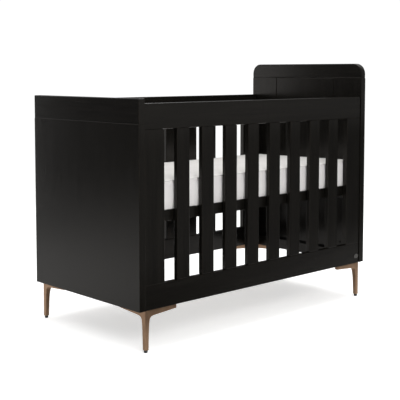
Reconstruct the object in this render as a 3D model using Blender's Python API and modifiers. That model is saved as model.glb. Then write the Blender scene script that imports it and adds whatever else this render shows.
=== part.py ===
"""A baby crib: two board ends, two slatted sides, a bolted slatted base, a mattress and four metal legs.

Metres, +Z up. The origin is on the floor under the middle of the crib. The low end is at -X, the tall end
at +X and the front side at -Y. Heights named below are measured from the bottom edge of the boards, which
the legs hold LEG_HEIGHT above the floor.
"""
import math

import bmesh
import bpy
from mathutils import Matrix, Vector

# ---- driving dimensions -------------------------------------------------------------------------
GAP = 0.0003                 # clearance between pieces that touch

LENGTH = 1.278               # over the two ends
DEPTH = 0.654                # front to rear edge of the ends
LEG_HEIGHT = 0.152           # floor to the bottom edge of the boards
BOARD_EDGE = 0.0025          # rounding of the boards' edges
JOINT_EDGE = 0.0008          # the same on boards that meet others edge to edge, and on hidden ones
PANEL_EDGE = 0.0015          # the same on the footboard's panel
FOOT_RAIL_BELOW = 0.4        # the share of BOARD_EDGE that the foot rail's lower corners have
HEADBOARD_EDGE = 0.0035      # the rounding of the headboard's boards
SOFTENED_ANGLE = 35          # degrees: sharper edges than this are rounded
SHARP_ANGLE = 50             # degrees: sharper edges than this stay crisp in the shading

END_THICKNESS = 0.028
FOOTBOARD_TOP = 0.748
FOOTBOARD_JOINT = 0.658      # where the top rail sits on the panel
HEADBOARD_TOP = 0.876
HEADBOARD_JOINT = 0.813
HEADBOARD_STILE = 0.154
HEADBOARD_CORNER = 0.045     # radius of the two top corners

SIDE_INSET = 0.0035          # from the ends' edges to the side's outer face
SIDE_THICKNESS = 0.021
SIDE_TOP = 0.731
TOP_RAIL = 0.092
BOTTOM_RAIL = 0.088
STILE = 0.091
SLATS = 8
SLAT_THICKNESS = 0.019       # centred in the side's thickness

END_BATTEN = (0.025, 0.045)  # thickness and height of the rail inside each end, over the leg's arm

BASE_BOTTOM = 0.304          # upper level of the base, measured like the heights above
BASE_HEIGHT = 0.040
BASE_LENGTH = 1.214
BASE_WIDTH = 0.600
BASE_RAIL = 0.024
BASE_SLATS = 8
BASE_SLAT_WIDTH = 0.084
BASE_SLAT_THICKNESS = 0.012
BASE_SLAT_EDGE = 0.002       # rounding
LEVEL_STEP = 0.106           # between the base's three levels
LEVELS = 3

ANGLE_LENGTH = 0.520         # steel angle under each end of the base
ANGLE_LEG = 0.028
ANGLE_THICKNESS = 0.0025
BOLT_SPREAD = 0.440          # between the two bolts of one angle
BOLT_SHANK = 0.003           # radius
BOLT_HEAD = 0.0055           # radius
BOLT_HEAD_HEIGHT = 0.0033
BOLT_ROUND = 0.0015          # rounding of the head's rim
BOLT_SOCKET = (0.0021, 0.0018)           # radius and depth
HOLE_RADIUS = 0.0036
HOLE_DEPTH = 0.016

MATTRESS = (1.200, 0.600, 0.104)
MATTRESS_EDGE = 0.012

LEG_INSET = (0.0285, 0.004)   # from the ends' outer faces and edges to the leg's outer faces
LEG_ARM = 0.147
LEG_ARM_WIDTH = (0.020, 0.014)
LEG_ARM_DEPTH = (0.024, 0.0135)
LEG_ARM_RINGS = (0, 0.002, 0.005, 0.009, 0.015, 0.042)   # distances from the post
LEG_FILLET = 0.014           # extra depth of an arm where it leaves the post
LEG_FILLET_FADE = 0.005      # over which it dies away along the arm
LEG_POST_WIDTH = (0.0190, 0.0156)
LEG_POST_RINGS = (0.020, 0.030, 0.037, 0.046, 0.060, 0.085)      # distances below the boards
LEG_POST_FLARE = 0.0040      # extra width of the post under the arms
LEG_POST_FLARE_START = 0.030
LEG_POST_FLARE_FADE = 0.020
FOOT_HEIGHT = 0.009
FOOT_RADIUS = (0.0074, 0.0060)

BADGE = (0.028, 0.019, 0.0016)
BADGE_EDGE = 0.0005          # rounding
BADGE_FROM_END = 0.048       # its centre, from the tall end's outer face
BADGE_HEIGHT = 0.030

INNER_X = LENGTH / 2 - END_THICKNESS
EDGE_Y = DEPTH / 2
SIDE_OUTER_Y = EDGE_Y - SIDE_INSET
SIDE_INNER_Y = SIDE_OUTER_Y - SIDE_THICKNESS
ENDS = (("left", -1), ("right", 1))      # the low end is on the left, seen from the front
SIDES = (("front", -1), ("rear", 1))


# ---- scene and helpers --------------------------------------------------------------------------
def clear_scene():
    for old in list(bpy.data.objects):
        bpy.data.objects.remove(old, do_unlink=True)


def collection(name):
    made = bpy.data.collections.new(name)
    bpy.context.scene.collection.children.link(made)
    return made


def material(name, colour, roughness, metallic=0.0):
    made = bpy.data.materials.new(name)
    made.use_nodes = True
    shader = made.node_tree.nodes["Principled BSDF"]
    shader.inputs["Base Color"].default_value = (*colour, 1.0)
    shader.inputs["Roughness"].default_value = roughness
    shader.inputs["Metallic"].default_value = metallic
    return made


def add(name, mesh, where, paint, group):
    """Links a mesh as the named object at a world position."""
    piece = bpy.data.objects.new(name, mesh)
    piece.location = where
    mesh.materials.append(paint.copy())
    mesh.materials[0].name = name
    group.objects.link(piece)
    return piece


def as_mesh(name, bm):
    bmesh.ops.recalc_face_normals(bm, faces=bm.faces)
    mesh = bpy.data.meshes.new(name)
    bm.to_mesh(mesh)
    bm.free()
    return mesh


def soften(piece, width, segments=2):
    """Rounds the sharp edges of a piece."""
    bevel = piece.modifiers.new("edges", "BEVEL")
    bevel.width = width
    bevel.segments = segments
    bevel.limit_method = "ANGLE"
    bevel.angle_limit = math.radians(SOFTENED_ANGLE)
    piece.data.shade_smooth()
    piece.data.set_sharp_from_angle(angle=math.radians(SHARP_ANGLE))
    return piece


def box_mesh(name, size):
    bm = bmesh.new()
    bmesh.ops.create_cube(bm, size=1.0, matrix=Matrix.Diagonal((*size, 1.0)))
    return as_mesh(name, bm)


def board(name, low, high, paint, edge=BOARD_EDGE):
    """A board between two corners. Heights are measured from the boards' bottom edge."""
    low, high = Vector(low), Vector(high)
    middle = (low + high) / 2 + Vector((0, 0, LEG_HEIGHT))
    return soften(add(name, box_mesh(name, high - low), middle, paint, CRIB), edge)


def cut(piece, cutter):
    """Takes the cutter's shape out of a piece, before its edges are rounded."""
    hole = piece.modifiers.new("hole", "BOOLEAN")
    hole.operation = "DIFFERENCE"
    hole.object = cutter
    piece.modifiers.move(len(piece.modifiers) - 1, 0)


def cylinder_cutter(name, radius, depth, where):
    """A cutter along X."""
    bm = bmesh.new()
    bmesh.ops.create_cone(bm, cap_ends=True, segments=12, radius1=radius, radius2=radius, depth=depth,
                          matrix=Matrix.Rotation(math.pi / 2, 4, "Y"))
    cutter = bpy.data.objects.new(name, as_mesh(name, bm))
    cutter.location = where
    cutter.hide_render = True
    cutter.display_type = "WIRE"
    CUTTERS.objects.link(cutter)
    return cutter


def turned(name, profile, where, paint, steps, axis="Z"):
    """Turns a profile of (radius, height) points, listed from top to bottom, about its own axis."""
    bm = bmesh.new()
    points = [bm.verts.new((radius, 0, height)) for radius, height in profile]
    for first, second in zip(points, points[1:]):
        bm.edges.new((first, second))
    mesh = bpy.data.meshes.new(name)
    bm.to_mesh(mesh)
    bm.free()
    piece = add(name, mesh, where, paint, CRIB)
    screw = piece.modifiers.new("turn", "SCREW")
    screw.steps = steps
    screw.render_steps = steps
    screw.use_merge_vertices = True
    screw.merge_threshold = 0.00005
    if axis == "X":
        piece.rotation_euler = (0, math.pi / 2, 0)
    if axis == "-X":
        piece.rotation_euler = (0, -math.pi / 2, 0)
    return piece


def loft(rings):
    """A closed bmesh through rings of four points each."""
    bm = bmesh.new()
    rows = [[bm.verts.new(point) for point in ring] for ring in rings]
    for row, after in zip(rows, rows[1:]):
        for i in range(len(row)):
            j = (i + 1) % len(row)
            bm.faces.new((row[i], row[j], after[j], after[i]))
    bm.faces.new(rows[0])
    bm.faces.new(rows[-1])
    return bm


def side_name(place):
    return "front" if place.y < 0 else "rear"


# ---- the two ends -------------------------------------------------------------------------------
def bolt_places(end):
    """Where the base's bolts meet one end (-1 the low end, 1 the tall end), at the upper level."""
    height = BASE_BOTTOM - ANGLE_LEG / 2 - ANGLE_THICKNESS / 2
    return [Vector((end * INNER_X, side * BOLT_SPREAD / 2, height)) for side in (-1, 1)]


def drill_levels(piece, end):
    """Blind bolt holes for the three levels, in the pieces that stand at a bolt's place."""
    for place in bolt_places(end):
        low = piece.location.y - piece.dimensions.y / 2
        high = piece.location.y + piece.dimensions.y / 2
        if not low < place.y < high:
            continue
        for level in range(LEVELS):
            where = place + Vector((end * HOLE_DEPTH / 2, 0, LEG_HEIGHT - level * LEVEL_STEP))
            name = f"{piece.name}_hole_{side_name(place)}_{level + 1}"
            cut(piece, cylinder_cutter(name, HOLE_RADIUS, HOLE_DEPTH + 2 * GAP, where))


def end_rail(name, start, low, high, rounding, below=1.0, corner=0.0):
    """An end's top rail from x = start, its upper corners turned in the board's plane. Its long lower
    corners, which meet the boards under it, have the given share of the others' rounding."""
    height = high - low
    bm = bmesh.new()
    bmesh.ops.create_cube(bm, size=1.0, matrix=Matrix.Diagonal((END_THICKNESS, DEPTH, height, 1.0)))
    if corner:
        upper = [edge for edge in bm.edges
                 if all(v.co.z > 0 for v in edge.verts) and edge.verts[0].co.y == edge.verts[1].co.y]
        bmesh.ops.bevel(bm, geom=upper, offset=corner, segments=8, profile=0.5, affect="EDGES")
    share = bm.edges.layers.float.new("bevel_weight_edge")
    for edge in bm.edges:
        if edge.calc_face_angle() > math.radians(SOFTENED_ANGLE):
            lower = all(v.co.z < GAP - height / 2 for v in edge.verts)
            edge[share] = below if lower else 1.0
    where = (start + END_THICKNESS / 2, 0, LEG_HEIGHT + (low + high) / 2)
    rail = soften(add(name, as_mesh(name, bm), where, EBONY, CRIB), rounding)
    rail.modifiers["edges"].limit_method = "WEIGHT"


def make_footboard():
    outer, inner = -LENGTH / 2, -INNER_X
    panel = board("footboard_panel", (outer, -EDGE_Y, 0), (inner, EDGE_Y, FOOTBOARD_JOINT - GAP), EBONY,
                  PANEL_EDGE)
    end_rail("footboard_top_rail", outer, FOOTBOARD_JOINT, FOOTBOARD_TOP, BOARD_EDGE, FOOT_RAIL_BELOW)
    bpy.context.view_layer.update()
    drill_levels(panel, -1)


def make_headboard():
    inner, outer = INNER_X, LENGTH / 2
    stile_edge = EDGE_Y - HEADBOARD_STILE
    top = HEADBOARD_JOINT - GAP
    front = board("headboard_stile_front", (inner, -EDGE_Y, 0), (outer, -stile_edge - GAP, top), EBONY,
                  HEADBOARD_EDGE)
    rear = board("headboard_stile_rear", (inner, stile_edge + GAP, 0), (outer, EDGE_Y, top), EBONY,
                 HEADBOARD_EDGE)
    board("headboard_panel", (inner, -stile_edge, 0), (outer, stile_edge, top), EBONY, HEADBOARD_EDGE)
    end_rail("headboard_top_rail", inner, HEADBOARD_JOINT, HEADBOARD_TOP, HEADBOARD_EDGE,
             corner=HEADBOARD_CORNER)
    bpy.context.view_layer.update()
    drill_levels(front, 1)
    drill_levels(rear, 1)


def make_end_battens():
    """A low rail inside each end, which ties the sides together and takes the legs' arms."""
    thickness, height = END_BATTEN
    reach = SIDE_INNER_Y - GAP
    near, far = INNER_X - GAP - thickness, INNER_X - GAP
    board("end_batten_left", (-far, -reach, 0), (-near, reach, height), EBONY, JOINT_EDGE)
    board("end_batten_right", (near, -reach, 0), (far, reach, height), EBONY, JOINT_EDGE)


# ---- the two sides ------------------------------------------------------------------------------
def make_side(label, side):
    """One slatted side: rails over the full length, stiles and slats standing between them."""
    reach = INNER_X - GAP
    faces = sorted((side * SIDE_INNER_Y, side * SIDE_OUTER_Y))
    slat_inset = (SIDE_THICKNESS - SLAT_THICKNESS) / 2
    slat_faces = (faces[0] + slat_inset, faces[1] - slat_inset)
    low, high = BOTTOM_RAIL + GAP, SIDE_TOP - TOP_RAIL - GAP

    def bar(name, x_low, x_high, z_low, z_high, y_faces=faces, edge=JOINT_EDGE):
        board(f"{label}_{name}", (x_low, y_faces[0], z_low), (x_high, y_faces[1], z_high), EBONY, edge)

    bar("top_rail", -reach, reach, SIDE_TOP - TOP_RAIL, SIDE_TOP, edge=BOARD_EDGE)
    bar("bottom_rail", -reach, reach, 0, BOTTOM_RAIL)
    bar("stile_left", -reach, -INNER_X + STILE, low, high)
    bar("stile_right", INNER_X - STILE, reach, low, high)
    space = 2 * (INNER_X - STILE) / (2 * SLATS + 1)
    for number in range(SLATS):
        start = -INNER_X + STILE + space * (2 * number + 1)
        bar(f"slat_{number + 1}", start, start + space, low, high, slat_faces, BOARD_EDGE)


def make_badge():
    """A plain oval plate on the front bottom rail."""
    width, height, thickness = BADGE
    bm = bmesh.new()
    bmesh.ops.create_cone(bm, cap_ends=True, segments=32, radius1=0.5, radius2=0.5, depth=1.0,
                          matrix=Matrix.Rotation(math.pi / 2, 4, "X"))
    bmesh.ops.transform(bm, matrix=Matrix.Diagonal((width, thickness, height, 1.0)), verts=bm.verts)
    where = (LENGTH / 2 - BADGE_FROM_END, -SIDE_OUTER_Y - GAP - thickness / 2, LEG_HEIGHT + BADGE_HEIGHT)
    soften(add("badge", as_mesh("badge", bm), where, STEEL, CRIB), BADGE_EDGE, 1)


# ---- the base and its fittings ------------------------------------------------------------------
def make_base():
    """The slatted base with its angles and bolts, all carried by one empty on the axis it slides along."""
    carrier = bpy.data.objects.new("base_slide", None)
    carrier.location = (0, 0, LEG_HEIGHT + BASE_BOTTOM)
    CRIB.objects.link(carrier)
    bpy.context.view_layer.update()
    for piece in [*make_base_frame(), *make_base_slats(), *make_angles(), *make_bolts()]:
        piece.parent = carrier
        piece.matrix_parent_inverse = carrier.matrix_world.inverted()


def make_base_frame():
    end, side = BASE_LENGTH / 2, BASE_WIDTH / 2
    low, high = BASE_BOTTOM, BASE_BOTTOM + BASE_HEIGHT
    long_reach = end - BASE_RAIL - GAP

    def rail(name, x_low, y_low, x_high, y_high):
        return board(f"base_{name}", (x_low, y_low, low), (x_high, y_high, high), EBONY, JOINT_EDGE)

    return [
        rail("end_rail_left", -end, -side, BASE_RAIL - end, side),
        rail("end_rail_right", end - BASE_RAIL, -side, end, side),
        rail("rail_front", -long_reach, -side, long_reach, BASE_RAIL - side),
        rail("rail_rear", -long_reach, side - BASE_RAIL, long_reach, side),
    ]


def make_base_slats():
    """Slats let in between the long rails, their tops level with the frame's."""
    clear = BASE_LENGTH - 2 * BASE_RAIL
    space = (clear - BASE_SLATS * BASE_SLAT_WIDTH) / (BASE_SLATS + 1)
    reach = BASE_WIDTH / 2 - BASE_RAIL - GAP
    high = BASE_BOTTOM + BASE_HEIGHT
    made = []
    for number in range(BASE_SLATS):
        start = -clear / 2 + space + number * (BASE_SLAT_WIDTH + space)
        low_corner = (start, -reach, high - BASE_SLAT_THICKNESS)
        high_corner = (start + BASE_SLAT_WIDTH, reach, high)
        made.append(board(f"base_slat_{number + 1}", low_corner, high_corner, BIRCH, BASE_SLAT_EDGE))
    return made


def make_angles():
    """A steel angle under each end of the base: one leg under the rail, the other down the end."""
    made = []
    for label, end in ENDS:
        face = INNER_X - GAP
        top = BASE_BOTTOM - GAP
        outline = [(face, top), (face - ANGLE_LEG, top), (face - ANGLE_LEG, top - ANGLE_THICKNESS),
                   (face - ANGLE_THICKNESS, top - ANGLE_THICKNESS), (face - ANGLE_THICKNESS, top - ANGLE_LEG),
                   (face, top - ANGLE_LEG)]
        bm = bmesh.new()
        corners = [bm.verts.new((end * x, -ANGLE_LENGTH / 2, z - BASE_BOTTOM)) for x, z in outline]
        section = bm.faces.new(corners)
        pulled = bmesh.ops.extrude_face_region(bm, geom=[section])["geom"]
        moved = [item for item in pulled if isinstance(item, bmesh.types.BMVert)]
        bmesh.ops.translate(bm, vec=(0, ANGLE_LENGTH, 0), verts=moved)
        name = f"base_angle_{label}"
        piece = add(name, as_mesh(name, bm), (0, 0, LEG_HEIGHT + BASE_BOTTOM), BLACK_STEEL, CRIB)
        for place in bolt_places(end):
            cut(piece, cylinder_cutter(f"{name}_hole_{side_name(place)}", HOLE_RADIUS, 4 * ANGLE_THICKNESS,
                                       place + Vector((0, 0, LEG_HEIGHT))))
        made.append(piece)
    return made


def make_bolts():
    """Socket-head bolts, each ending flush with the outer face of its angle so that the base can slide."""
    socket, socket_depth = BOLT_SOCKET
    grip = ANGLE_THICKNESS
    profile = [(0, BOLT_HEAD_HEIGHT - socket_depth), (socket, BOLT_HEAD_HEIGHT - socket_depth),
               (socket, BOLT_HEAD_HEIGHT), (BOLT_HEAD - BOLT_ROUND, BOLT_HEAD_HEIGHT),
               (BOLT_HEAD, BOLT_HEAD_HEIGHT / 2), (BOLT_HEAD, 0), (BOLT_SHANK, 0), (BOLT_SHANK, -grip),
               (0, -grip)]
    made = []
    for label, end in ENDS:
        for place in bolt_places(end):
            seat = place + Vector((-end * (ANGLE_THICKNESS + 2 * GAP), 0, LEG_HEIGHT))
            name = f"base_bolt_{side_name(place)}_{label}"
            made.append(turned(name, profile, seat, BLACK_STEEL, 12, "X" if end < 0 else "-X"))
    return made


def make_mattress():
    length, width, height = MATTRESS
    low = BASE_BOTTOM + BASE_HEIGHT + GAP
    board("mattress", (-length / 2, -width / 2, low), (length / 2, width / 2, low + height), TICKING,
          MATTRESS_EDGE)


# ---- legs and feet ------------------------------------------------------------------------------
def between(pair, t):
    return pair[0] + (pair[1] - pair[0]) * t


def arm_rings(across):
    """Rings along one arm. Its underside rises towards the tip and curves down into the post at the root."""
    root = between(LEG_ARM_WIDTH, 0)
    rings = []
    for reach in (0, *(root + beyond for beyond in LEG_ARM_RINGS), LEG_ARM):
        t = reach / LEG_ARM
        width = between(LEG_ARM_WIDTH, t)
        fillet = LEG_FILLET * math.exp(-max(reach - root, 0) / LEG_FILLET_FADE)
        bottom = -GAP - between(LEG_ARM_DEPTH, t) - fillet
        ring = [(reach, GAP, -GAP), (reach, width, -GAP), (reach, width, bottom), (reach, GAP, bottom)]
        rings.append([(y, x, z) for x, y, z in ring] if across else ring)
    return rings


def post_rings(bottom):
    """Rings down the post: square, its outer faces upright, its inner faces flaring towards the arms."""
    rings = []
    for down in (GAP, *LEG_POST_RINGS, bottom):
        flare = LEG_POST_FLARE * math.exp(-max(down - LEG_POST_FLARE_START, 0) / LEG_POST_FLARE_FADE)
        width = between(LEG_POST_WIDTH, down / bottom) + flare
        rings.append([(0, 0, -down), (width, 0, -down), (width, width, -down), (0, width, -down)])
    return rings


def make_leg(label, end, side):
    """One cast leg: a tapered post and two arms, one under the side and one under the end's batten."""
    bottom = LEG_HEIGHT - FOOT_HEIGHT - GAP
    turn = Matrix.Diagonal((-end, -side, 1.0, 1.0))
    corner = (end * (LENGTH / 2 - LEG_INSET[0]), side * (EDGE_Y - LEG_INSET[1]), LEG_HEIGHT)
    shapes = []
    for rings in (post_rings(bottom), arm_rings(False), arm_rings(True)):
        bm = loft(rings)
        bmesh.ops.transform(bm, matrix=turn, verts=bm.verts)
        shapes.append(as_mesh(f"leg_{label}", bm))
    leg = add(f"leg_{label}", shapes[0], corner, BRONZE, CRIB)
    for number, shape in enumerate(shapes[1:]):
        arm = bpy.data.objects.new(f"leg_{label}_arm_{number + 1}", shape)
        arm.location = corner
        arm.hide_render = True
        arm.display_type = "WIRE"
        CUTTERS.objects.link(arm)
        join = leg.modifiers.new("join", "BOOLEAN")
        join.operation = "UNION"
        join.object = arm
    leg.data.shade_smooth()
    leg.data.set_sharp_from_angle(angle=math.radians(SHARP_ANGLE))
    tip = between(LEG_POST_WIDTH, 1) / 2
    make_foot(label, (corner[0] - end * tip, corner[1] - side * tip, 0))


def make_foot(label, where):
    """A plastic glide pressed on the end of a leg."""
    top, bottom = FOOT_RADIUS
    profile = [(0, FOOT_HEIGHT), (top, FOOT_HEIGHT), (top, FOOT_HEIGHT / 2), (bottom, 0), (0, 0)]
    turned(f"foot_cap_{label}", profile, where, BLACK_PLASTIC, 16)


def make_legs():
    for end_label, end in ENDS:
        for side_label, side in SIDES:
            make_leg(f"{side_label}_{end_label}", end, side)


# ---- build --------------------------------------------------------------------------------------
clear_scene()
CRIB = collection("baby_crib")
CUTTERS = collection("cutters")
EBONY = material("ebony", (0.012, 0.011, 0.010), 0.42)
BIRCH = material("birch", (0.45, 0.33, 0.20), 0.6)
BRONZE = material("bronze", (0.20, 0.11, 0.06), 0.38, 1.0)
STEEL = material("steel", (0.45, 0.45, 0.44), 0.35, 1.0)
BLACK_STEEL = material("black_steel", (0.02, 0.02, 0.02), 0.5, 0.6)
BLACK_PLASTIC = material("black_plastic", (0.015, 0.015, 0.015), 0.55)
TICKING = material("ticking", (0.80, 0.78, 0.75), 0.9)

make_footboard()
make_headboard()
make_end_battens()
make_side("front", -1)
make_side("rear", 1)
make_badge()
make_base()
make_mattress()
make_legs()
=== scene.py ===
"""Looks for the baby crib: finished boards, cast legs, a soft mattress, studio light and camera."""

import math

import bmesh
import bpy
import numpy as np
from mathutils import Matrix, Vector


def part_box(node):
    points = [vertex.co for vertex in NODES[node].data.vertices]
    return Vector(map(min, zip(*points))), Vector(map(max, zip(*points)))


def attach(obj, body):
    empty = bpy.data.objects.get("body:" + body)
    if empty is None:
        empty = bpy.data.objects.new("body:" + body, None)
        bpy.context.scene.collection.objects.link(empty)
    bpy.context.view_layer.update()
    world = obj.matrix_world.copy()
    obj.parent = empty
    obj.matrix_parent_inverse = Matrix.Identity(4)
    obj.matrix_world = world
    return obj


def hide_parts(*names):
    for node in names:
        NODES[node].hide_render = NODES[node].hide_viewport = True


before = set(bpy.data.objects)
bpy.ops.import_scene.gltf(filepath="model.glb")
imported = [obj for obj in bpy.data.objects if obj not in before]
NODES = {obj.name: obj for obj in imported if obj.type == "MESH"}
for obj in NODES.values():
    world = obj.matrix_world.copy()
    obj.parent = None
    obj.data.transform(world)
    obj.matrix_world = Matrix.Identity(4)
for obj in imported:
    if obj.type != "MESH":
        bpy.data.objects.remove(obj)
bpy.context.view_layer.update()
CORNERS = [(side, end) for side in ("front", "rear") for end in ("left", "right")]


# ---- material graphs ------------------------------------------------------------------------
EDGE_SAMPLES = 4
EDGE_MATCH = (0.99, 0.80)    # how well the rounded normal agrees with the face's, off and on a corner


class Graph:
    """One material's node graph. Inputs are values or other nodes' sockets."""

    def __init__(self, name):
        self.material = bpy.data.materials.new(name)
        self.material.use_nodes = True
        self.tree = self.material.node_tree
        self.shader = self.tree.nodes["Principled BSDF"]
        self.place = self.node("TexCoord").outputs["Object"]
        self.random = self.node("ObjectInfo").outputs["Random"]

    def node(self, kind, inputs=None, **settings):
        made = self.tree.nodes.new("ShaderNode" + kind)
        for key, value in settings.items():
            setattr(made, key, value)
        for key, value in (inputs or {}).items():
            self.feed(made.inputs[key], value)
        return made

    def feed(self, socket, value):
        if isinstance(value, bpy.types.NodeSocket):
            self.tree.links.new(value, socket)
        else:
            socket.default_value = value

    def shade(self, **inputs):
        for key, value in inputs.items():
            self.feed(self.shader.inputs[key.replace("_", " ")], value)

    def stretch(self, vector, scale):
        return self.node("VectorMath", {0: vector, 1: scale}, operation="MULTIPLY").outputs[0]

    def shift(self, vector, amount):
        """The vector moved by the object's own random number, so that no two boards share a figure."""
        spread = self.node("CombineXYZ", {0: self.random, 1: self.random, 2: self.random}).outputs[0]
        moved = self.node("VectorMath", {0: spread, 1: amount}, operation="MULTIPLY").outputs[0]
        return self.node("VectorMath", {0: vector, 1: moved}, operation="ADD").outputs[0]

    def noise(self, vector, scale, detail=3.0, roughness=0.5, distortion=0.0):
        inputs = {"Vector": vector, "Scale": scale, "Detail": detail}
        inputs.update({"Roughness": roughness, "Distortion": distortion})
        return self.node("TexNoise", inputs).outputs["Fac"]

    def math(self, operation, a, b=0.5):
        return self.node("Math", {0: a, 1: b}, operation=operation).outputs[0]

    def remap(self, value, low, high, to_low, to_high):
        inputs = {"Value": value, "From Min": low, "From Max": high, "To Min": to_low, "To Max": to_high}
        return self.node("MapRange", inputs).outputs["Result"]

    def blend(self, factor, a, b):
        return self.node("MixRGB", {"Fac": factor, "Color1": a, "Color2": b}).outputs[0]

    def bump(self, height, strength, distance, normal=None):
        inputs = {"Height": height, "Strength": strength, "Distance": distance}
        if normal is not None:
            inputs["Normal"] = normal
        return self.node("Bump", inputs).outputs["Normal"]

    def edge(self, radius):
        """1 on a corner that the hand rubs, 0 on the flat."""
        rounded = self.node("Bevel", {"Radius": radius}, samples=EDGE_SAMPLES).outputs["Normal"]
        flat = self.node("NewGeometry").outputs["Normal"]
        match = self.node("VectorMath", {0: rounded, 1: flat}, operation="DOT_PRODUCT").outputs["Value"]
        return self.remap(match, *EDGE_MATCH, 0.0, 1.0)


def rgb(red, green, blue):
    return (red, green, blue, 1.0)


BOARD_SHIFT = (3.1, 5.3, 7.7)    # metres: how far a board's random number can move its figure
PORE_SHARE = 0.55                # how much of the dark tone a pore takes
RUB_RADIUS = 0.003
WOOD_RELIEF = 0.0002


def wood(name, along, dark, light, worn, gloss, tint, roughness, wear):
    """A stained board: grain, pores and fine streaks run along one axis, broad figure across it, and its
    edges are a little worn."""
    g = Graph(name)
    place = g.shift(g.place, BOARD_SHIFT)

    def drawn_out(share):
        """The place with a pattern drawn out along the grain."""
        return g.stretch(place, [share if axis == along else 1.0 for axis in "XYZ"])

    grain = g.noise(drawn_out(0.035), scale=170.0, detail=5.0, roughness=0.62)
    streaks = g.noise(drawn_out(0.012), scale=105.0, detail=1.0, roughness=0.4)
    pores = g.noise(drawn_out(0.055), scale=900.0, detail=2.0)
    pores = g.remap(pores, 0.56, 0.70, 0.0, 1.0)
    figure = g.noise(drawn_out(0.10), scale=9.0, detail=2.0, distortion=0.6)
    figure = g.math("SINE", g.math("MULTIPLY", figure, 46.0))
    tone = g.math("ADD", g.remap(grain, 0.3, 0.7, 0.0, 0.50), g.remap(figure, -1.0, 1.0, 0.0, 0.20))
    tone = g.math("ADD", tone, g.remap(streaks, 0.35, 0.65, 0.0, 0.30))
    colour = g.blend(tone, dark, light)
    colour = g.blend(g.math("MULTIPLY", pores, PORE_SHARE), colour, dark)
    patches = g.remap(g.noise(place, scale=38.0), 0.35, 0.75, 0.0, wear)
    colour = g.blend(g.math("MULTIPLY", g.edge(RUB_RADIUS), patches), colour, worn)
    relief = g.math("SUBTRACT", g.math("MULTIPLY", grain, 0.5), g.math("MULTIPLY", pores, 0.5))
    sheen = g.remap(grain, 0.3, 0.7, roughness - 0.03, roughness + 0.03)
    rough = g.math("ADD", sheen, g.math("MULTIPLY", pores, 0.06))
    g.shade(Base_Color=colour, Roughness=rough, Normal=g.bump(relief, strength=0.25, distance=WOOD_RELIEF))
    g.shader.inputs["Specular IOR Level"].default_value = gloss
    g.shader.inputs["Specular Tint"].default_value = tint
    return g.material


CAST_RUB_RADIUS = 0.0015
CAST_RUB = 0.35
CAST_ROUGHNESS = (0.34, 0.44)


def cast_metal(name, colour, deep, worn):
    """Plated casting: fine pitting, a slightly uneven tone, brighter where it is rubbed."""
    g = Graph(name)
    cloud = g.noise(g.place, scale=45.0, detail=4.0)
    pits = g.noise(g.place, scale=1300.0, detail=2.0)
    tone = g.blend(g.remap(cloud, 0.35, 0.65, 0.0, 1.0), deep, colour)
    tone = g.blend(g.math("MULTIPLY", g.edge(CAST_RUB_RADIUS), CAST_RUB), tone, worn)
    rough = g.remap(cloud, 0.3, 0.7, *CAST_ROUGHNESS)
    g.shade(Base_Color=tone, Roughness=rough, Normal=g.bump(pits, strength=0.10, distance=0.0002))
    g.shader.inputs["Metallic"].default_value = 1.0
    return g.material


def powder_coat(name, colour, light, metallic, roughness):
    """Powder coat or moulded plastic: orange peel and a trace of dust."""
    g = Graph(name)
    peel = g.noise(g.place, scale=620.0, detail=2.0)
    dust = g.noise(g.place, scale=30.0, detail=4.0)
    tone = g.blend(g.remap(dust, 0.4, 0.75, 0.0, 0.5), colour, light)
    rough = g.remap(dust, 0.3, 0.7, roughness - 0.05, roughness + 0.07)
    g.shade(Base_Color=tone, Roughness=rough, Normal=g.bump(peel, strength=0.18, distance=0.0003))
    g.shader.inputs["Metallic"].default_value = metallic
    return g.material


# Painted shade: the grey that the hollows between the knit's ribs are blended towards.
PAINTED_RIB_SHADE = rgb(0.55, 0.53, 0.50)
SLACK_STRETCH = (1.0, 1.6, 1.6)
SLACK_DEPTH = 0.0045


def ticking(name, colour, shade, pitch, depth):
    """Knitted mattress cloth: crossing ribs of yarn at the pitch, an uneven off-white with painted shade
    in the hollows between the ribs, and soft waves where the cover lies slack."""
    g = Graph(name)
    wobble = g.noise(g.place, scale=60.0, detail=2.0)
    wave = 2 * math.pi / pitch
    split = g.node("SeparateXYZ", {0: g.place})
    ribs = []
    for axis in range(3):
        turn = g.math("ADD", g.math("MULTIPLY", split.outputs[axis], wave), g.math("MULTIPLY", wobble, 2.5))
        ribs.append(g.math("SINE", turn))
    cloth = g.math("ADD", g.math("MULTIPLY", ribs[0], ribs[1]), ribs[2])
    yarn = g.noise(g.place, scale=1500.0, roughness=0.6)
    height = g.math("ADD", g.math("MULTIPLY", cloth, 0.5), yarn)
    cloud = g.noise(g.place, scale=7.0, detail=4.0, roughness=0.6)
    tone = g.blend(g.remap(cloud, 0.3, 0.7, 0.0, 1.0), colour, shade)
    # Painted shade: up to 12% of the grey where the ribs' relief is low, in the hollows.
    tone = g.blend(g.remap(cloth, -1.5, 0.0, 0.12, 0.0), tone, PAINTED_RIB_SHADE)
    waves = g.noise(g.stretch(g.place, SLACK_STRETCH), scale=17.0, detail=2.0, roughness=0.45, distortion=0.4)
    slack = g.bump(waves, strength=0.5, distance=SLACK_DEPTH)
    g.shade(Base_Color=tone, Normal=g.bump(height, strength=0.6, distance=depth, normal=slack))
    g.shader.inputs["Roughness"].default_value = 0.92
    g.shader.inputs["Specular IOR Level"].default_value = 0.2
    g.shader.inputs["Sheen Weight"].default_value = 0.25
    g.shader.inputs["Sheen Roughness"].default_value = 0.5
    return g.material


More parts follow.
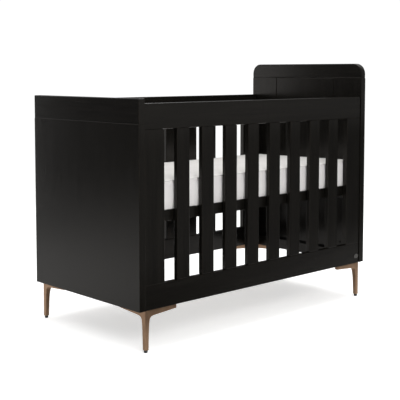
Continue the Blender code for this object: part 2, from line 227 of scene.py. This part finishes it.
EBONY_DARK = rgb(0.0034, 0.0031, 0.0026)
EBONY_LIGHT = rgb(0.0080, 0.0071, 0.0058)
EBONY_WORN = rgb(0.050, 0.036, 0.024)
EBONY_TINT = rgb(1.0, 0.95, 0.90)
EBONY_LOOK = {"gloss": 0.25, "tint": EBONY_TINT, "roughness": 0.20, "wear": 0.5}
EBONY = {
    axis: wood(f"ebony_stain_{axis.lower()}", axis, EBONY_DARK, EBONY_LIGHT, EBONY_WORN, **EBONY_LOOK)
    for axis in "XYZ"
}
BIRCH_DARK = rgb(0.40, 0.27, 0.15)
BIRCH_LIGHT = rgb(0.60, 0.44, 0.27)
BIRCH_WORN = rgb(0.62, 0.48, 0.32)
BIRCH_LOOK = {"gloss": 0.3, "tint": rgb(1.0, 1.0, 1.0), "roughness": 0.55, "wear": 0.3}
BIRCH = wood("birch_y", "Y", BIRCH_DARK, BIRCH_LIGHT, BIRCH_WORN, **BIRCH_LOOK)
BRONZE = cast_metal("bronze_plate", rgb(0.38, 0.244, 0.155), rgb(0.32, 0.20, 0.125), rgb(0.44, 0.27, 0.16))
BADGE = cast_metal("badge_metal", rgb(0.19, 0.185, 0.175), rgb(0.145, 0.14, 0.135), rgb(0.45, 0.44, 0.42))
STEEL = powder_coat("black_steel", rgb(0.012, 0.012, 0.012), rgb(0.030, 0.029, 0.028), 0.0, 0.45)
PLASTIC = powder_coat("black_plastic", rgb(0.014, 0.014, 0.014), rgb(0.030, 0.030, 0.029), 0.0, 0.50)
TICKING = ticking("mattress_ticking", rgb(0.805, 0.783, 0.757), rgb(0.775, 0.753, 0.727), 0.0032, 0.0006)
BORDER = ticking("mattress_border", rgb(0.815, 0.79, 0.78), rgb(0.785, 0.76, 0.75), 0.0026, 0.0005)
PIPING = ticking("mattress_piping", rgb(0.78, 0.765, 0.745), rgb(0.74, 0.725, 0.705), 0.0018, 0.0003)


def paint(node, material):
    piece = NODES[node]
    piece.data.materials.clear()
    piece.data.materials.append(material)


def grain_axis(node):
    low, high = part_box(node)
    size = high - low
    return "XYZ"[list(size).index(max(size))]


GRAIN_UP = ("footboard_panel", "headboard_panel")
for name in NODES:
    if name.startswith("base_slat"):
        paint(name, BIRCH)
    elif name.startswith(("base_angle", "base_bolt")):
        paint(name, STEEL)
    elif name.startswith("foot_cap"):
        paint(name, PLASTIC)
    elif name.startswith("leg_"):
        paint(name, BRONZE)
    elif name == "badge":
        paint(name, BADGE)
    elif name == "mattress":
        paint(name, TICKING)
    else:
        paint(name, EBONY["Z" if name in GRAIN_UP else grain_axis(name)])

# ---- headboard joint ------------------------------------------------------------------------
TONGUE_INSET = 0.002
TONGUE_BITE = 0.0015


def make_tongue():
    """The tongue in the headboard's joint, let a little into the boards so that no light comes through."""
    rail_low, rail_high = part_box("headboard_top_rail")
    panel_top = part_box("headboard_panel")[1].z
    low = Vector((rail_low.x + TONGUE_INSET, rail_low.y + TONGUE_INSET, panel_top - TONGUE_BITE))
    high = Vector((rail_high.x - TONGUE_INSET, rail_high.y - TONGUE_INSET, rail_low.z + TONGUE_BITE))
    bm = bmesh.new()
    shape = Matrix.Translation((low + high) / 2) @ Matrix.Diagonal((*(high - low), 1.0))
    bmesh.ops.create_cube(bm, size=1.0, matrix=shape)
    mesh = bpy.data.meshes.new("headboard_tongue")
    bm.to_mesh(mesh)
    bm.free()
    mesh.materials.append(EBONY["Y"])
    tongue = bpy.data.objects.new("headboard_tongue", mesh)
    bpy.context.scene.collection.objects.link(tongue)
    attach(tongue, "crib")


make_tongue()

# ---- legs -----------------------------------------------------------------------------------
LEG_ARM_WIDTH = (0.020, 0.014)
LEG_ARM_DEPTH = (0.024, 0.0135)
LEG_POST_WIDTH = (0.0190, 0.0156)
LEG_FLARE = 0.0040
LEG_FLARE_FROM = 0.030
LEG_FLARE_FADE = 0.020
LEG_FILLET = 0.014
LEG_FILLET_FADE = 0.005
LEG_POST_STEPS = 24
LEG_ARM_STEPS = 60
LEG_VOXEL = 0.0009
LEG_SMOOTHING = 6
LEG_KEPT = 0.14


def between(pair, t):
    return pair[0] + (pair[1] - pair[0]) * t


def add_loft(bm, rings):
    """A closed skin over rings of four corners each."""
    made = [[bm.verts.new(point) for point in ring] for ring in rings]
    for ring, following in zip(made, made[1:]):
        for i in range(4):
            j = (i + 1) % 4
            bm.faces.new((ring[i], ring[j], following[j], following[i]))
    bm.faces.new(reversed(made[0]))
    bm.faces.new(made[-1])


def settled(source, name):
    """The object's mesh with its modifiers worked in, in a new object."""
    bpy.context.view_layer.update()
    graph = bpy.context.evaluated_depsgraph_get()
    mesh = bpy.data.meshes.new_from_object(source.evaluated_get(graph))
    mesh.name = name
    old = source.data
    bpy.data.objects.remove(source)
    bpy.data.meshes.remove(old)
    piece = bpy.data.objects.new(name, mesh)
    bpy.context.scene.collection.objects.link(piece)
    return piece


def make_leg(side, end):
    """A cast leg: a post and two arms whose undersides sweep into it, every edge softly rounded."""
    low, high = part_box(f"leg_{side}_{end}")
    reach = high.x - low.x
    drop = high.z - low.z
    bm = bmesh.new()
    post = []
    for i in range(LEG_POST_STEPS + 1):
        t = i / LEG_POST_STEPS
        down = drop * i / LEG_POST_STEPS
        flare = LEG_FLARE * math.exp(-max(down - LEG_FLARE_FROM, 0.0) / LEG_FLARE_FADE)
        width = between(LEG_POST_WIDTH, t) + flare
        post.append([(0, 0, -down), (width, 0, -down), (width, width, -down), (0, width, -down)])
    add_loft(bm, post)
    for across in (False, True):
        arm = []
        for i in range(LEG_ARM_STEPS + 1):
            t = i / LEG_ARM_STEPS
            out = reach * t
            width = between(LEG_ARM_WIDTH, t)
            sweep = LEG_FILLET * math.exp(-max(out - LEG_ARM_WIDTH[0], 0.0) / LEG_FILLET_FADE)
            bottom = -between(LEG_ARM_DEPTH, t) - sweep
            ring = [(out, 0, 0), (out, width, 0), (out, width, bottom), (out, 0, bottom)]
            arm.append([(y, x, z) for x, y, z in ring] if across else ring)
        add_loft(bm, arm)
    bmesh.ops.recalc_face_normals(bm, faces=bm.faces)
    turn = Matrix.Diagonal((1.0 if end == "left" else -1.0, 1.0 if side == "front" else -1.0, 1.0, 1.0))
    corner = Vector((low.x if end == "left" else high.x, low.y if side == "front" else high.y, high.z))
    bmesh.ops.transform(bm, matrix=Matrix.Translation(corner) @ turn, verts=bm.verts)
    bmesh.ops.recalc_face_normals(bm, faces=bm.faces)
    mesh = bpy.data.meshes.new("leg_start")
    bm.to_mesh(mesh)
    bm.free()
    start = bpy.data.objects.new("leg_start", mesh)
    bpy.context.scene.collection.objects.link(start)
    melt = start.modifiers.new("melt", "REMESH")
    melt.mode = "VOXEL"
    melt.voxel_size = LEG_VOXEL
    ease = start.modifiers.new("ease", "SMOOTH")
    ease.factor = 0.5
    ease.iterations = LEG_SMOOTHING
    thin = start.modifiers.new("thin", "DECIMATE")
    thin.ratio = LEG_KEPT
    leg = settled(start, f"cast_leg_{side}_{end}")
    leg.data.shade_smooth()
    leg.data.materials.append(BRONZE)
    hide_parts(f"leg_{side}_{end}")
    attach(leg, "crib")


for leg_side, leg_end in CORNERS:
    make_leg(leg_side, leg_end)

# ---- mattress -------------------------------------------------------------------------------
PAD_TOP = 0.5965
PAD_HALF = (0.6, 0.3)
PAD_LEAN = 0.0060
PAD_HEAD_RISE = 0.0035
PAD_HEAD_FROM = 0.36
PAD_FLOOR = 0.0003
PAD_INSET = 0.003
PAD_CORNER = 0.036
PAD_SHOULDER = 0.007
PAD_SEAM = 0.0035
PAD_BOW = 0.0030
PAD_STEP = 0.012
PAD_SIDE_STEPS = 7
PAD_PANEL_NEAR = [0.0, PAD_SEAM, PAD_SHOULDER, 0.0105, 0.015, 0.021]
PAD_BORDER_NEAR = [0.0, PAD_SEAM, PAD_SHOULDER, 0.0105, 0.016]
PAD_PRESSURE = 4.0
PAD_FRAMES = 20
PAD_CAP = 0.0035
PAD_GROOVE = 0.0015
PAD_GROOVE_REACH = 0.0045
PAD_PUCKER = 0.0007
PAD_PUCKER_FROM = 0.009
PAD_PUCKER_WAVES = ((1.0, 210, 0.0), (0.7, 127, 1.3), (0.5, 67, 0.4))    # strength, turn in a metre, start
PAD_BLOCK = 4000
BORDER_SLOPE = 0.6
PIPING_RADIUS = 0.0019
PIPING_SIDES = 10


def graded(half):
    """Grid lines across a panel: close together at both edges, even between."""
    near = PAD_PANEL_NEAR
    count = round(2 * (half - near[-1]) / PAD_STEP)
    middle = [-half + near[-1] + 2 * (half - near[-1]) * i / count for i in range(1, count)]
    return [-half + n for n in near] + middle + [half - n for n in reversed(near)]


def pad_point(x, y, z, half_x, half_y, low, high):
    """A point of a plain box taken to the pad: soft shoulders, round corners, sides drawn in a little."""
    inset = [half_x - abs(x), half_y - abs(y)]
    edge = min(inset)
    rise = min(z - low, high - z)
    if edge < PAD_SHOULDER and rise < PAD_SHOULDER:
        a, b = 1 - edge / PAD_SHOULDER, 1 - rise / PAD_SHOULDER
        size = math.hypot(a, b)
        shift = PAD_SHOULDER * (1 - a / size) - edge
        up = PAD_SHOULDER * (1 - b / size)
        z = low + up if z - low < high - z else high - up
        share = [max(0.0, min(1.0, (PAD_SHOULDER - n) / (PAD_SHOULDER - edge))) for n in inset]
        x -= math.copysign(shift * share[0], x)
        y -= math.copysign(shift * share[1], y)
    a, b = abs(x) - half_x + PAD_CORNER, abs(y) - half_y + PAD_CORNER
    if a > 0 and b > 0:
        a, b = a / PAD_CORNER, b / PAD_CORNER
        x = math.copysign(half_x - PAD_CORNER + PAD_CORNER * a * math.sqrt(1 - b * b / 2), x)
        y = math.copysign(half_y - PAD_CORNER + PAD_CORNER * b * math.sqrt(1 - a * a / 2), y)
    pull_x, pull_y = 1 - (y / half_y) ** 2, 1 - (x / half_x) ** 2
    return x * (1 - PAD_BOW / half_x * pull_x), y * (1 - PAD_BOW / half_y * pull_y), z


def pad_shell(half_x, half_y, low, high):
    """The pad's closed skin as a mesh, and the indices of its points on the bottom and top seams."""
    xs, ys = graded(half_x), graded(half_y)
    span = high - low
    near = PAD_BORDER_NEAR
    zs = [low + n for n in near]
    zs += [low + near[-1] + (span - 2 * near[-1]) * i / PAD_SIDE_STEPS for i in range(1, PAD_SIDE_STEPS)]
    zs += [high - n for n in reversed(near)]
    last = (len(xs) - 1, len(ys) - 1, len(zs) - 1)
    bm = bmesh.new()
    found = {}

    def vertex(key):
        if key not in found:
            where = (xs[key[0]], ys[key[1]], zs[key[2]])
            found[key] = bm.verts.new(pad_point(*where, half_x, half_y, low, high))
        return found[key]

    for fixed in range(3):
        one, two = [n for n in range(3) if n != fixed]
        for level in (0, last[fixed]):
            for i in range(last[one]):
                for j in range(last[two]):
                    corners = []
                    for a, b in ((i, j), (i + 1, j), (i + 1, j + 1), (i, j + 1)):
                        key = [0, 0, 0]
                        key[fixed], key[one], key[two] = level, a, b
                        corners.append(vertex(tuple(key)))
                    bm.faces.new(corners)
    bm.verts.index_update()
    rings = {}
    for name, level in (("bottom", 0), ("top", last[2])):
        keys = [k for k in found if k[2] == level and (k[0] in (0, last[0]) or k[1] in (0, last[1]))]
        rings[name] = [found[k].index for k in keys]
    bmesh.ops.recalc_face_normals(bm, faces=bm.faces)
    mesh = bpy.data.meshes.new("pad_start")
    bm.to_mesh(mesh)
    bm.free()
    return mesh, rings


def points_of(mesh):
    flat = np.zeros(len(mesh.vertices) * 3, np.float32)
    mesh.vertices.foreach_get("co", flat)
    return flat.reshape(-1, 3).astype(float)


def inflate(pad, held):
    """Blows the cover up under the cloth solver while its seams stay put, and returns the new points."""
    start = points_of(pad.data)
    group = pad.vertex_groups.new(name="seams")
    group.add(held, 1.0, "REPLACE")
    cloth = pad.modifiers.new("cloth", "CLOTH")
    cloth.settings.quality = 6
    cloth.settings.mass = 0.3
    cloth.settings.tension_stiffness = 40.0
    cloth.settings.compression_stiffness = 40.0
    cloth.settings.shear_stiffness = 20.0
    cloth.settings.bending_stiffness = 2.0
    cloth.settings.vertex_group_mass = "seams"
    cloth.settings.use_pressure = True
    cloth.settings.uniform_pressure_force = PAD_PRESSURE
    cloth.settings.effector_weights.gravity = 0.0
    cloth.collision_settings.use_collision = False
    cloth.collision_settings.use_self_collision = False
    cloth.point_cache.frame_start = 1
    cloth.point_cache.frame_end = PAD_FRAMES
    scene = bpy.context.scene
    for step in range(1, PAD_FRAMES + 1):
        scene.frame_set(step)
    graph = bpy.context.evaluated_depsgraph_get()
    blown = points_of(pad.evaluated_get(graph).data)
    pad.modifiers.remove(cloth)
    scene.frame_set(1)
    move = blown - start
    size = np.maximum(np.linalg.norm(move, axis=1, keepdims=True), 1e-9)
    print("pad: the cover moved", round(float(size.max()) * 1000, 1), "mm before the cap")
    return start + move / size * PAD_CAP * np.tanh(size / PAD_CAP)


def settle(points, low, high):
    """The filling's own unevenness: the top a little lower at the rear and thicker towards the tall end."""
    across = points[:, 1] / PAD_HALF[1]
    along = np.clip((points[:, 0] - PAD_HEAD_FROM) / (PAD_HALF[0] - PAD_HEAD_FROM), 0, 1)
    rise = PAD_HEAD_RISE * along * along * (3 - 2 * along) - PAD_LEAN * across
    made = points.copy()
    made[:, 2] += rise * np.clip((points[:, 2] - low) / (high - low), 0, 1)
    return made


def seam_line(points):
    """A seam's points in order round the pad."""
    return points[np.argsort(np.arctan2(points[:, 1] / PAD_HALF[1], points[:, 0] / PAD_HALF[0]))]


def pucker(points, normals, lines):
    """Draws the cloth in along each seam and gathers it into small uneven puckers."""
    near = np.full(len(points), 1e9)
    along = np.zeros(len(points))
    for line in lines:
        run = np.concatenate([[0], np.cumsum(np.linalg.norm(np.diff(line, axis=0), axis=1))])
        for i in range(0, len(points), PAD_BLOCK):
            block = points[i : i + PAD_BLOCK]
            gap = np.linalg.norm(block[:, None, :] - line[None, :, :], axis=2)
            best = gap.argmin(1)
            closest = gap[np.arange(len(block)), best]
            better = closest < near[i : i + PAD_BLOCK]
            near[i : i + PAD_BLOCK] = np.where(better, closest, near[i : i + PAD_BLOCK])
            along[i : i + PAD_BLOCK] = np.where(better, run[best], along[i : i + PAD_BLOCK])
    groove = PAD_GROOVE * np.exp(-((near / PAD_GROOVE_REACH) ** 2))
    waves = sum(strength * np.sin(along * turn + start) for strength, turn, start in PAD_PUCKER_WAVES)
    gather = PAD_PUCKER * waves * np.exp(-(((near - PAD_PUCKER_FROM) / PAD_PUCKER_FROM) ** 2))
    return points + normals * (gather - groove)[:, None]


def make_piping(name, line):
    """A closed round welt along a seam, its radius a touch uneven as sewn cord is."""
    count = len(line)
    ahead = np.roll(line, -1, axis=0) - np.roll(line, 1, axis=0)
    ahead /= np.linalg.norm(ahead, axis=1, keepdims=True)
    out = np.cross(ahead, np.array([0.0, 0.0, 1.0]))
    out /= np.linalg.norm(out, axis=1, keepdims=True)
    up = np.cross(out, ahead)
    bm = bmesh.new()
    rings = []
    for i in range(count):
        radius = PIPING_RADIUS * (1 + 0.04 * math.sin(i * 1.7) + 0.03 * math.sin(i * 0.61))
        ring = []
        for k in range(PIPING_SIDES):
            turn = 2 * math.pi * k / PIPING_SIDES
            ring.append(bm.verts.new(line[i] + radius * (math.cos(turn) * out[i] + math.sin(turn) * up[i])))
        rings.append(ring)
    for i in range(count):
        ring, following = rings[i], rings[(i + 1) % count]
        for k in range(PIPING_SIDES):
            m = (k + 1) % PIPING_SIDES
            bm.faces.new((ring[k], following[k], following[m], ring[m]))
    bmesh.ops.recalc_face_normals(bm, faces=bm.faces)
    mesh = bpy.data.meshes.new(name)
    bm.to_mesh(mesh)
    bm.free()
    mesh.shade_smooth()
    mesh.materials.append(PIPING)
    piece = bpy.data.objects.new(name, mesh)
    bpy.context.scene.collection.objects.link(piece)
    return piece


def make_mattress():
    low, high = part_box("mattress")
    half_x = high.x - PAD_INSET
    half_y = high.y - PAD_INSET
    bottom = low.z + PAD_FLOOR
    mesh, rings = pad_shell(half_x, half_y, bottom, PAD_TOP)
    pad = bpy.data.objects.new("pad_start", mesh)
    bpy.context.scene.collection.objects.link(pad)
    points = inflate(pad, rings["bottom"] + rings["top"])
    points = settle(points, bottom, PAD_TOP)
    points[:, 2] = np.maximum(points[:, 2], bottom)
    mesh.vertices.foreach_set("co", points.astype(np.float32).ravel())
    mesh.update()
    lines = [seam_line(points[rings[name]]) for name in ("bottom", "top")]
    finer = pad.modifiers.new("finer", "SUBSURF")
    finer.levels = 1
    finer.render_levels = 1
    pad = settled(pad, "mattress_pad")
    fine = points_of(pad.data)
    normals = np.zeros(len(fine) * 3, np.float32)
    pad.data.vertices.foreach_get("normal", normals)
    fine = pucker(fine, normals.reshape(-1, 3), lines)
    fine[:, 2] = np.maximum(fine[:, 2], bottom)
    pad.data.vertices.foreach_set("co", fine.astype(np.float32).ravel())
    pad.data.update()
    pad.data.shade_smooth()
    pad.data.materials.clear()
    pad.data.materials.append(TICKING)
    pad.data.materials.append(BORDER)
    for face in pad.data.polygons:
        face.material_index = int(abs(face.normal.z) < BORDER_SLOPE)
    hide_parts("mattress")
    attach(pad, "mattress")
    for name, line in zip(("bottom", "top"), lines):
        piping = make_piping(f"mattress_piping_{name}", line)
        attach(piping, "mattress")


make_mattress()

# ---- floor ----------------------------------------------------------------------------------
FLOOR_REACH = 5.6
FLOOR_WHOLE = 1.9
FLOOR_GONE = 5.2
FLOOR_LIFT = 0.50
FLOOR_TONES = (rgb(0.87, 0.87, 0.865), rgb(0.90, 0.90, 0.895))


def make_floor():
    """A pale disc that thins out into the white surroundings."""
    bm = bmesh.new()
    bmesh.ops.create_circle(bm, cap_ends=True, segments=96, radius=FLOOR_REACH)
    mesh = bpy.data.meshes.new("floor")
    bm.to_mesh(mesh)
    bm.free()
    floor = bpy.data.objects.new("floor", mesh)
    bpy.context.scene.collection.objects.link(floor)
    g = Graph("pale_floor")
    speckle = g.noise(g.place, scale=90.0)
    reach = g.node("VectorMath", {0: g.place}, operation="LENGTH").outputs["Value"]
    solid = g.remap(reach, FLOOR_WHOLE, FLOOR_GONE, 1.0, 0.0)
    g.shade(Base_Color=g.blend(speckle, *FLOOR_TONES), Alpha=solid)
    g.shader.inputs["Roughness"].default_value = 0.85
    g.shader.inputs["Specular IOR Level"].default_value = 0.1
    seen = g.node("LightPath").outputs["Is Camera Ray"]
    g.shade(Emission_Strength=g.math("MULTIPLY", seen, FLOOR_LIFT))
    g.shader.inputs["Emission Color"].default_value = rgb(1.0, 1.0, 1.0)
    mesh.materials.append(g.material)


make_floor()

# ---- reflector ------------------------------------------------------------------------------
CARD_LEFT = -0.9
CARD_RIGHT = 3.0
CARD_FRONT = -0.60
CARD_BOTTOM = 0.002
CARD_TOP = 1.6
CARD_SPAN = (-0.40, 0.97)
CARD_HIGH = (0.46, 0.30)
CARD_MIDDLE = (0.26, 0.10)
CARD_LOW = (0.0, 0.42)
CARD_STEPS = ((0.06, 0.27), (0.70, 0.80))


def make_card():
    """A graded card in front of the crib that only the sheen of its polished faces shows."""
    bm = bmesh.new()
    corners = [(CARD_LEFT, CARD_BOTTOM), (CARD_RIGHT, CARD_BOTTOM)]
    corners += [(CARD_RIGHT, CARD_TOP), (CARD_LEFT, CARD_TOP)]
    bm.faces.new([bm.verts.new((x, CARD_FRONT, z)) for x, z in corners])
    mesh = bpy.data.meshes.new("card")
    bm.to_mesh(mesh)
    bm.free()
    card = bpy.data.objects.new("card", mesh)
    bpy.context.scene.collection.objects.link(card)
    g = Graph("graded_card")
    split = g.node("SeparateXYZ", {0: g.place})
    across = split.outputs["X"]
    high = g.remap(across, *CARD_SPAN, *CARD_HIGH)
    middle = g.remap(across, *CARD_SPAN, *CARD_MIDDLE)
    low = g.remap(across, *CARD_SPAN, *CARD_LOW)
    lift = g.remap(split.outputs["Z"], *CARD_STEPS[0], 0.0, 1.0)
    top = g.remap(split.outputs["Z"], *CARD_STEPS[1], 0.0, 1.0)

    def fade(share, a, b):
        """a where the share is 0, b where it is 1."""
        rest = g.math("SUBTRACT", 1.0, share)
        return g.math("ADD", g.math("MULTIPLY", a, rest), g.math("MULTIPLY", b, share))

    glow = fade(top, fade(lift, low, middle), high)
    g.shade(Base_Color=rgb(0.0, 0.0, 0.0), Emission_Color=rgb(1.0, 1.0, 1.0), Emission_Strength=glow)
    g.shader.inputs["Specular IOR Level"].default_value = 0.0
    mesh.materials.append(g.material)
    card.visible_camera = False
    card.visible_diffuse = False
    card.visible_transmission = False
    card.visible_volume_scatter = False
    card.visible_shadow = False


make_card()

# ---- light ----------------------------------------------------------------------------------
WORLD_SEEN = 1.05
WORLD_HORIZON = 0.10
WORLD_ZENITH = 0.90
WORLD_RISE = 0.9
# Name, place, the point it faces, width, height and radiance.
LAMPS = (
    ("overhead", (0.9, 0.3, 3.2), (0.1, 0.0, 0.5), 2.4, 2.4, 2.8),
    ("front_key", (-1.5, -3.2, 2.1), (0.0, 0.0, 0.5), 2.0, 1.6, 6.2),
    ("rear_strip", (-1.4, 2.3, 1.0), (0.6, 0.2, 0.9), 0.6, 1.8, 1.5),
)


def make_world():
    """White where the camera looks past the object; for light, dim at the horizon and bright overhead."""
    world = bpy.data.worlds.new("studio")
    world.use_nodes = True
    bpy.context.scene.world = world
    tree = world.node_tree
    tree.nodes.clear()
    place = tree.nodes.new("ShaderNodeTexCoord")
    split = tree.nodes.new("ShaderNodeSeparateXYZ")
    rise = tree.nodes.new("ShaderNodeMapRange")
    rise.inputs["From Max"].default_value = WORLD_RISE
    rise.inputs["To Min"].default_value = WORLD_HORIZON
    rise.inputs["To Max"].default_value = WORLD_ZENITH
    seen = tree.nodes.new("ShaderNodeLightPath")
    pick = tree.nodes.new("ShaderNodeMix")
    pick.inputs["B"].default_value = WORLD_SEEN
    sky = tree.nodes.new("ShaderNodeBackground")
    sky.inputs["Color"].default_value = rgb(1.0, 1.0, 1.0)
    out = tree.nodes.new("ShaderNodeOutputWorld")
    tree.links.new(place.outputs["Generated"], split.inputs[0])
    tree.links.new(split.outputs["Z"], rise.inputs["Value"])
    tree.links.new(seen.outputs["Is Camera Ray"], pick.inputs["Factor"])
    tree.links.new(rise.outputs["Result"], pick.inputs["A"])
    tree.links.new(pick.outputs["Result"], sky.inputs["Strength"])
    tree.links.new(sky.outputs[0], out.inputs[0])


def make_lamp(name, where, aim, width, height, radiance):
    """A softbox of the given radiance that faces the point aim. The camera doesn't see it."""
    data = bpy.data.lights.new(name, "AREA")
    data.shape = "RECTANGLE"
    data.size = width
    data.size_y = height
    data.energy = radiance * math.pi * width * height
    lamp = bpy.data.objects.new(name, data)
    bpy.context.scene.collection.objects.link(lamp)
    lamp.location = where
    lamp.rotation_euler = (Vector(aim) - Vector(where)).to_track_quat("-Z", "Y").to_euler()
    lamp.visible_camera = False


make_world()
for lamp_spec in LAMPS:
    make_lamp(*lamp_spec)

# ---- camera ---------------------------------------------------------------------------------
CAMERA_PLACE = (-2.6040, -2.7502, 0.9912)
CAMERA_TILT = 85.714
CAMERA_HEADING = -42.914
CAMERA_LENS = 81.591
CAMERA_SENSOR = 36.0
CAMERA_SHIFT = -0.15
CAMERA_REACH = (0.05, 60.0)

camera = bpy.data.objects.new("camera", bpy.data.cameras.new("camera"))
bpy.context.scene.collection.objects.link(camera)
camera.location = CAMERA_PLACE
camera.rotation_euler = (math.radians(CAMERA_TILT), 0.0, math.radians(CAMERA_HEADING))
camera.data.lens = CAMERA_LENS
camera.data.sensor_width = CAMERA_SENSOR
camera.data.shift_y = CAMERA_SHIFT
camera.data.clip_start, camera.data.clip_end = CAMERA_REACH
bpy.context.scene.camera = camera
bpy.context.scene.view_settings.view_transform = "Standard"
